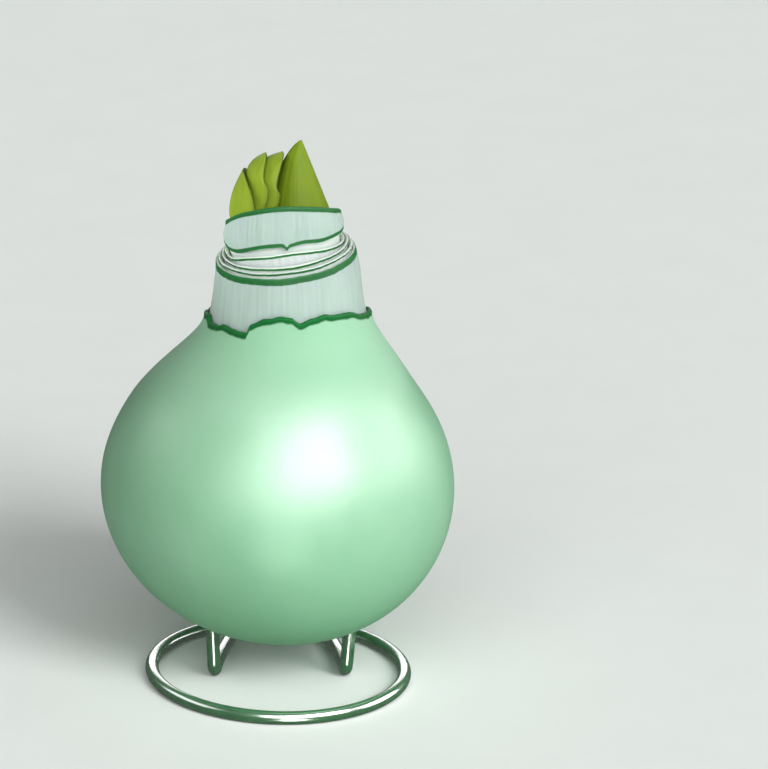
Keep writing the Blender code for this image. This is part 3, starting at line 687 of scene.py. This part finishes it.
def make_scale(number, edge, finish):
    """A thin sleeve: its radius steps in by its number, and its lip is a half-round cut edge, a little
    flared."""
    turns = turns_of(NECK_COLUMNS)[None, :]
    edge = edge + 0.00006 * np.sin(7 * turns + 2.3 * number) + 0.00002 * np.sin(19 * turns + number)
    outer = HOLLOW_RADIUS - BULB_GAP - number * SCALE_STEP
    middle, half = outer - SCALE_THICKNESS / 2, SCALE_THICKNESS / 2
    foot = HOLLOW_FLOOR_HEIGHT + BULB_GAP
    up = foot + (edge - half - foot) * np.linspace(0.0, 1.0, 22)[:, None]
    flare_start, flare_end = SCALE_FLARE_BELOW_EDGE
    flare = SCALE_FLARE * smooth_step(up, edge - flare_start, edge - flare_end)
    wobble = 0.00005 * np.sin(46 * turns + number + 200 * up)
    outside = round_the_middle(turns, middle + half + flare + wobble, up)
    lip = round_lip(turns, middle + SCALE_FLARE, half, edge - half)
    inside = round_the_middle(turns, middle - half + flare + wobble, up)[::-1]
    below = reach_up_grid(NECK_COLUMNS, edge - half - up, np.full((len(lip) + len(inside), 1), FAR))
    name = "neck_scale_%d" % (number + 1)
    piece = skin(name + "_finish", np.concatenate([outside, lip, inside]), {"below_cut": below}, finish)
    seat(piece, name)


scale_turns = turns_of(NECK_COLUMNS)[None, :]
scale_edges = [clean_cut(plane, scale_turns) for plane in SCALE_PLANES]
scale_edges.append(even_edge(INNER_SCALE_EDGE, scale_turns))
scale_finish = plant_finish("cut_scale_flesh", **SCALE_LOOK)
for scale_number, scale_edge in enumerate(scale_edges):
    make_scale(scale_number, scale_edge, scale_finish)

# Sheath. A sleeve of young bulb skin round the sprout: it swells above a torn lower skin edge and
# closes in again at its rounded top.
SKIN_EDGE = [(-180, 0.1206), (-155, 0.1203), (-141, 0.1207), (-123, 0.1224), (-110, 0.1235),
             (-94, 0.1242), (-89.5, 0.1240), (-87, 0.1232), (-84, 0.1241), (-70, 0.1249), (-53, 0.1245),
             (-34, 0.1245), (-11, 0.1243), (20, 0.1238), (60, 0.1229), (90, 0.1220), (130, 0.1212)]
SHEATH_EDGE = [(-180, 0.1268), (-168, 0.1279), (-156, 0.1296), (-138, 0.1320), (-124, 0.1334),
               (-105, 0.1349), (-87, 0.1354), (-71, 0.1351), (-48, 0.1339), (-25, 0.1320),
               (-12, 0.1309), (-4, 0.1299), (20, 0.1276), (50, 0.1254), (90, 0.1238), (130, 0.1243),
               (155, 0.1252)]
SHEATH_STEM_RADIUS = 0.0149
SHEATH_STEM_THICKNESS = 0.0009
SHEATH_STEM_OVERLAP = 0.0003
SHEATH_BULGE_RADIUS = 0.0161
SHEATH_TOP_RADIUS = 0.0155
SHEATH_WALL = 0.0010
SHEATH_NARROWS_OVER = 0.003
SKIN_LIP_RADIUS = 0.00035
# Painted light: the paler colour away from the edges lifts the shaded stem and the inside wall.
SHEATH_LOOK = {"flesh": (168, 187, 180), "vein": (160, 180, 172), "line": CUT_LINE_GREEN,
               "cut_tone_and_painted_light": (216, 234, 215), "line_key": "to_edge", "line_width": 0.0008, "veins": 80.0}


def make_sheath():
    """One closed sleeve: a plain lower wall, a lip under the skin's torn edge, a swollen band that
    follows a smooth curve up to a half-round top, and the inner wall back down."""
    turns = turns_of(NECK_COLUMNS)[None, :]
    skin_edge = even_edge(SKIN_EDGE, turns)
    top = even_edge(SHEATH_EDGE, turns)
    foot = HOLLOW_FLOOR_HEIGHT + BULB_GAP
    up = foot + (skin_edge + SHEATH_STEM_OVERLAP - foot) * np.linspace(0.0, 1.0, 12)[:, None]
    stem = round_the_middle(turns, SHEATH_STEM_RADIUS, up)
    under = np.linspace(-math.pi / 2, 0.0, 6)[1:, None]
    roll = round_the_middle(turns, SHEATH_BULGE_RADIUS - SKIN_LIP_RADIUS + SKIN_LIP_RADIUS * np.cos(under),
                            skin_edge + SKIN_LIP_RADIUS + SKIN_LIP_RADIUS * np.sin(under))
    half = SHEATH_WALL / 2
    rise = np.linspace(0.0, 1.0, 26)[1:, None]
    band_foot = skin_edge + SKIN_LIP_RADIUS
    band_up = band_foot + (top - half - skin_edge - SKIN_LIP_RADIUS) * rise
    narrowing = smooth_step(rise, 0.3, 1.0)
    swell = SHEATH_BULGE_RADIUS + (SHEATH_TOP_RADIUS - SHEATH_BULGE_RADIUS) * narrowing
    ribs = 0.00006 * np.sin(38 * turns + 2 * np.sin(5 * turns))
    ribs = ribs + 0.00004 * np.sin(71 * turns + 100 * band_up)
    band = round_the_middle(turns, swell + ribs * np.sin(math.pi * rise), band_up)
    crest = round_lip(turns, SHEATH_TOP_RADIUS - half, half, top - half)
    down = top - half + (foot - top + half) * np.linspace(0.0, 1.0, 24)[:, None]
    wide = SHEATH_TOP_RADIUS - SHEATH_WALL
    stepped = smooth_step(-down, -skin_edge, SHEATH_NARROWS_OVER - skin_edge)
    lining = round_the_middle(turns, wide - (wide - SHEATH_STEM_RADIUS + SHEATH_STEM_THICKNESS) * stepped,
                              down)
    to_edge = reach_up_grid(NECK_COLUMNS, np.full((len(stem), 1), FAR), np.zeros((len(roll), 1)),
                            np.minimum(band_up - skin_edge - SKIN_LIP_RADIUS, top - half - band_up),
                            np.zeros((len(crest), 1)), np.full((len(lining), 1), FAR))
    grid = np.concatenate([stem, roll, band, crest, lining])
    piece = skin("sheath_finish", grid, {"to_edge": to_edge}, plant_finish("sheath_skin", **SHEATH_LOOK))
    seat(piece, "sheath")


make_sheath()

# Leaves. Three young leaves stand one inside the other on the sprout's left: channelled olive blades
# with hooded tips, parallel veins and a darker margin. A line gives x and z of a blade's middle.
LEAF_FOOT_HEIGHT = HOLLOW_FLOOR_HEIGHT + BULB_GAP
LEAVES = [
    {"name": "leaf_outer", "radius": 0.0120, "half_angle": 62.0, "thickness": 0.0013,
     "line": [[(-0.0105, LEAF_FOOT_HEIGHT), (-0.0107, 0.1150), (-0.0111, 0.1195), (-0.0116, 0.1240)],
              [(-0.0116, 0.1240), (-0.0136, 0.1315), (-0.0112, 0.1355), (-0.0087, 0.1408)]]},
    {"name": "leaf_middle", "radius": 0.0100, "half_angle": 70.0, "thickness": 0.0011,
     "line": [[(-0.0088, LEAF_FOOT_HEIGHT), (-0.0090, 0.1150), (-0.0095, 0.1195), (-0.0099, 0.1240)],
              [(-0.0099, 0.1240), (-0.0110, 0.1312), (-0.0091, 0.1350), (-0.0082, 0.1388)],
              [(-0.0082, 0.1388), (-0.0073, 0.1426), (-0.0056, 0.1441), (-0.0024, 0.1453)]]},
    {"name": "leaf_inner", "radius": 0.0086, "half_angle": 86.0, "thickness": 0.0010,
     "line": [[(-0.0073, LEAF_FOOT_HEIGHT), (-0.0075, 0.1150), (-0.0079, 0.1195), (-0.0083, 0.1240)],
              [(-0.0083, 0.1240), (-0.0088, 0.1310), (-0.0074, 0.1345), (-0.0065, 0.1382)],
              [(-0.0065, 0.1382), (-0.0056, 0.1419), (-0.0034, 0.1443), (0.0022, 0.1456)]]},
]
LEAF_ROUND_FROM = 0.62
LEAF_ROUND_POWER = 2.7
LEAF_LAST_ROUNDING = 0.9985
LEAF_ARC_POINTS = 29
LEAF_RIB_HEIGHT = 0.00004
LEAF_RIBS = 8
LEAF_LOOK = {"flesh": (134, 157, 44), "vein": (122, 146, 39), "line": (102, 131, 38),
             "cut_tone_and_painted_light": (134, 157, 44), "line_key": "to_margin", "line_width": 0.0004, "veins": 44.0,
             "roughness": 0.5, "specular": 0.06}


def make_leaf(number, leaf, finish):
    """A blade carried along its middle line: each cross-section is an arc of its own radius, whose half
    angle closes at the tip as the square root of 1 - s^2.7, and whose wall thins to a rounded margin."""
    even, closer = np.linspace(0.0, 1.0, 24), np.sin(np.linspace(0.0, math.pi / 2, 40))
    *lower, last = leaf["line"]
    curves = [bezier(curve, even) for curve in lower] + [bezier(last, closer)]
    line = np.concatenate([curves[0]] + [curve[1:] for curve in curves[1:]])
    along = np.gradient(line, axis=0)
    along /= np.linalg.norm(along, axis=1)[:, None]
    length = np.concatenate([[0.0], np.cumsum(np.linalg.norm(np.diff(line, axis=0), axis=1))])
    part = (length / length[-1])[:, None]
    rounding = np.clip((part - LEAF_ROUND_FROM) / (1.0 - LEAF_ROUND_FROM), 0.0, LEAF_LAST_ROUNDING)
    ripple = 1.0 + 0.02 * np.sin(9.0 * part + number) * smooth_step(part, 0.3, 0.6)
    half_angle = math.radians(leaf["half_angle"]) * np.sqrt(1.0 - rounding ** LEAF_ROUND_POWER) * ripple
    turn = np.linspace(-math.pi / 2, math.pi / 2, LEAF_ARC_POINTS)
    across = np.concatenate([np.sin(turn), np.sin(turn[::-1])[1:-1]])[None, :]
    inner_face = np.concatenate([np.zeros(LEAF_ARC_POINTS), np.ones(LEAF_ARC_POINTS - 2)])[None, :]
    fullness = np.sqrt(np.clip(1.0 - across ** 10, 0.0, 1.0))
    wall = leaf["thickness"] * (1.0 - 0.35 * smooth_step(part, LEAF_ROUND_FROM, 1.0))
    wall = wall * (1.0 - 0.45 * across ** 2) * fullness
    ribs = LEAF_RIB_HEIGHT * np.cos(2 * math.pi * LEAF_RIBS * across) * (1.0 - across ** 2)
    ribs = ribs * (1.0 - inner_face)
    margin = 0.5 * leaf["thickness"] * (1.0 - fullness) * (1.0 - inner_face)
    radius = leaf["radius"] + ribs - margin - wall * inner_face
    inward = np.stack([along[:, 1], -along[:, 0]], 1)
    centre = line + inward * leaf["radius"]
    bend = across * half_angle
    x = centre[:, :1] - inward[:, :1] * radius * np.cos(bend)
    z = centre[:, 1:] - inward[:, 1:] * radius * np.cos(bend)
    y = -radius * np.sin(bend)
    side = (1.0 - np.abs(across)) * leaf["radius"] * half_angle
    tip = (1.0 - part) * length[-1] * 1.2
    to_margin = np.clip(np.minimum(side, tip), 0.0, FAR)
    grid = np.stack([x, y, z], -1)
    piece = skin(leaf["name"] + "_finish", grid, {"to_margin": to_margin}, finish, True)
    seat(piece, leaf["name"])


leaf_finish = plant_finish("young_leaf", **LEAF_LOOK)
for leaf_number, leaf in enumerate(LEAVES):
    make_leaf(leaf_number, leaf, leaf_finish)

# Flower bud. A pointed olive bud, wrapped in two bracts whose seams run up to the tip. It stands on the
# sprout's right, where the leaves are open.
BUD_SHOULDER_HEIGHT = 0.1300
BUD_TIP_HEIGHT = 0.1491
BUD_TIP_SHORT = 0.00012
BUD_HALF_WIDTH = 0.0085
BUD_FOOT_HALF_WIDTH = 0.0078
BUD_DEPTH_RATIO = 1.05
BUD_RIGHT_X = 0.0143
BUD_RIGHT_SLOPE = 0.377
BUD_POINT_POWER = 0.73
BUD_COLUMNS = 120
BUD_SEAMS = (-118.0, 62.0)
BUD_SEAM_DEPTH = 0.00022
BUD_SEAM_SPREAD = 0.05
BUD_RIB_HEIGHT = 0.00004
BUD_LOOK = {"flesh": (114, 136, 24), "vein": (105, 128, 20), "line": (94, 120, 22),
            "cut_tone_and_painted_light": (114, 136, 24), "line_key": "to_margin", "line_width": 0.0002, "veins": 40.0,
            "roughness": 0.5, "specular": 0.05}


def make_bud():
    """Oval sections stacked up the bud. Above the shoulder the half width falls as a power of 1 - s, and
    each section is set so that its right side keeps to a straight slope. Seams are narrow grooves."""
    turns = turns_of(BUD_COLUMNS)[None, :]
    low = np.linspace(LEAF_FOOT_HEIGHT, BUD_SHOULDER_HEIGHT, 24)[:-1]
    rise = np.sin(np.linspace(0.0, math.pi / 2, 64)[:-5])
    high = BUD_SHOULDER_HEIGHT + (BUD_TIP_HEIGHT - BUD_SHOULDER_HEIGHT) * rise
    height = np.concatenate([low, high, [BUD_TIP_HEIGHT - BUD_TIP_SHORT]])[:, None]
    up = np.clip(height - BUD_SHOULDER_HEIGHT, 0.0, None)
    part = up / (BUD_TIP_HEIGHT - BUD_SHOULDER_HEIGHT)
    grown = np.clip((height - LEAF_FOOT_HEIGHT) / (BUD_SHOULDER_HEIGHT - LEAF_FOOT_HEIGHT), 0.0, 1.0)
    half = BUD_FOOT_HALF_WIDTH + (BUD_HALF_WIDTH - BUD_FOOT_HALF_WIDTH) * grown
    half = half * (1.0 - part) ** BUD_POINT_POWER
    centre = BUD_RIGHT_X - BUD_RIGHT_SLOPE * up - half
    from_seam = np.full(turns.shape, math.pi)
    for seam in BUD_SEAMS:
        away = np.abs((turns - math.radians(seam) + math.pi) % (2 * math.pi) - math.pi)
        from_seam = np.minimum(from_seam, away)
    narrow = np.clip(half / BUD_HALF_WIDTH, 0.0, 1.0)
    groove = BUD_SEAM_DEPTH * np.exp(-(from_seam / BUD_SEAM_SPREAD) ** 2) * narrow
    ribs = BUD_RIB_HEIGHT * np.sin(34 * turns + 2 * np.sin(3 * turns)) * half / BUD_HALF_WIDTH
    wide = half - groove + ribs
    grid = np.stack([centre + wide * np.cos(turns), BUD_DEPTH_RATIO * wide * np.sin(turns),
                     np.broadcast_to(height, wide.shape)], -1)
    to_margin = np.clip(from_seam * half + 0.0002, 0.0, FAR)
    piece = skin("flower_bud_finish", grid, {"to_margin": to_margin},
                 plant_finish("bud_skin", **BUD_LOOK), True)
    seat(piece, "flower_bud")


make_bud()

# Wire stand. One steel wire in a glossy dark green coat, bent by hand: an oval ring on the ground whose
# ends curl in under the bulb, run to the front and turn up into the prongs that hold it.
WIRE_RADIUS = 0.0018
WIRE_SIDES = 32
RING_RADIUS = 0.0343
RING_OVAL = 0.0014
RING_LONG_WAY = -47.0
RING_CENTRE_Y = -0.0120
RING_END_ANGLE = 38.0
RING_POINTS = 230
FOOT_BEND_RADIUS = 0.0034
FOOT_HANDLE = 0.0200
ARMS = [
    {"side": -1, "prong": PRONGS["left"], "heading": (0.0015, 0.0200, 0.0), "ring_handle": 0.0220},
    {"side": 1, "prong": PRONGS["right"], "heading": (-0.0015, 0.0200, 0.0), "ring_handle": 0.0160},
]
WIRE_SHADES = [(0.30, (28, 92, 44)), (0.70, (40, 108, 58))]
WIRE_ROUGHNESS = (0.22, 0.32)
WIRE_COAT_RELIEF = 0.00004


def ring_points(turns):
    """The ring's middle line: its radius is a mean plus a cosine of twice the angle."""
    radius = RING_RADIUS + RING_OVAL * np.cos(np.radians(2 * (turns - RING_LONG_WAY)))
    angle = np.radians(turns)
    return np.stack([radius * np.cos(angle), RING_CENTRE_Y + radius * np.sin(angle),
                     np.full(turns.shape, WIRE_RADIUS)], 1)


def unit(vector):
    """A vector, or each row of an array, at length 1."""
    return vector / np.linalg.norm(vector, axis=-1, keepdims=True)


def arm_points(arm):
    """One arm from the ring's end: a Bezier curve on the ground, the foot's round bend and the prong. The
    bend is an arc between the ends of two spokes, each weighted by the sine of its share of the angle."""
    end_turn = 90.0 - RING_END_ANGLE * arm["side"]
    ring_end, ring_on = ring_points(np.array([end_turn, end_turn + arm["side"]]))
    ring_way = unit(ring_on - ring_end)
    foot, prong_top = np.array(arm["prong"]["foot"]), np.array(arm["prong"]["top"])
    heading = unit(np.array(arm["heading"]))
    prong_way = unit(prong_top - foot)
    half = math.acos(heading @ prong_way) / 2
    reach = FOOT_BEND_RADIUS / math.tan(half)
    middle = foot + unit(heading + prong_way) * FOOT_BEND_RADIUS / math.sin(half)
    first, last = foot + heading * reach - middle, foot + prong_way * reach - middle
    angle = math.acos(unit(first) @ unit(last))
    t = np.linspace(0.0, 1.0, 24)[:, None]
    bend = middle + (np.sin((1 - t) * angle) * first + np.sin(t * angle) * last) / math.sin(angle)
    run = bezier([ring_end, ring_end + ring_way * arm["ring_handle"],
                  bend[0] + heading * FOOT_HANDLE, bend[0]], np.linspace(0.0, 1.0, 70))
    prong = np.linspace(bend[-1], prong_top, 24)
    return np.concatenate([run[1:-1], bend, prong[1:]])


def wire_finish():
    """Glossy plastic coat on steel wire: dark green, a little uneven, with fine drawing marks."""
    material, tree, shader = start_finish("green_wire_coat", roughness=0.26, specular_ior_level=0.5,
                                          coat_weight=1.0, coat_roughness=0.20, coat_ior=3.2)
    chart = put(tree, "ShaderNodeUVMap", uv_map="around_and_along").outputs[0]
    place = put(tree, "ShaderNodeTexCoord").outputs["Object"]
    uneven = stretched_noise(tree, place, (1.0, 1.0, 1.0), 180.0)
    marks = stretched_noise(tree, chart, (24.0, 60.0, 1.0), 1.0)
    tree.links.new(ramp(tree, uneven, WIRE_SHADES), shader.inputs["Base Color"])
    tree.links.new(between(tree, marks, 0.3, 0.7, *WIRE_ROUGHNESS), shader.inputs["Roughness"])
    relief(tree, shader, uneven, WIRE_COAT_RELIEF)
    return material


def make_wire_stand():
    """A round section carried along the wire's middle line. Its normal is the up direction on the ground
    and turns to the back as the wire turns up."""
    left, right = (arm_points(arm) for arm in ARMS)
    around = ring_points(np.linspace(90.0 + RING_END_ANGLE, 450.0 - RING_END_ANGLE, RING_POINTS))
    line = np.concatenate([left[::-1], around, right])
    way = unit(np.gradient(line, axis=0))
    steep = np.abs(way[:, 2:])
    normal = np.array((0.0, 0.0, 1.0)) * (1 - steep) + np.array((0.0, 1.0, 0.0)) * steep
    normal = unit(normal - (normal * way).sum(1, keepdims=True) * way)
    side = np.cross(way, normal)
    turns = turns_of(WIRE_SIDES)[None, :, None]
    section = normal[:, None, :] * np.cos(turns) + side[:, None, :] * np.sin(turns)
    grid = line[:, None, :] + WIRE_RADIUS * section
    piece = skin("wire_stand_finish", grid, {}, wire_finish(), True)
    seat(piece, "wire_stand")


make_wire_stand()
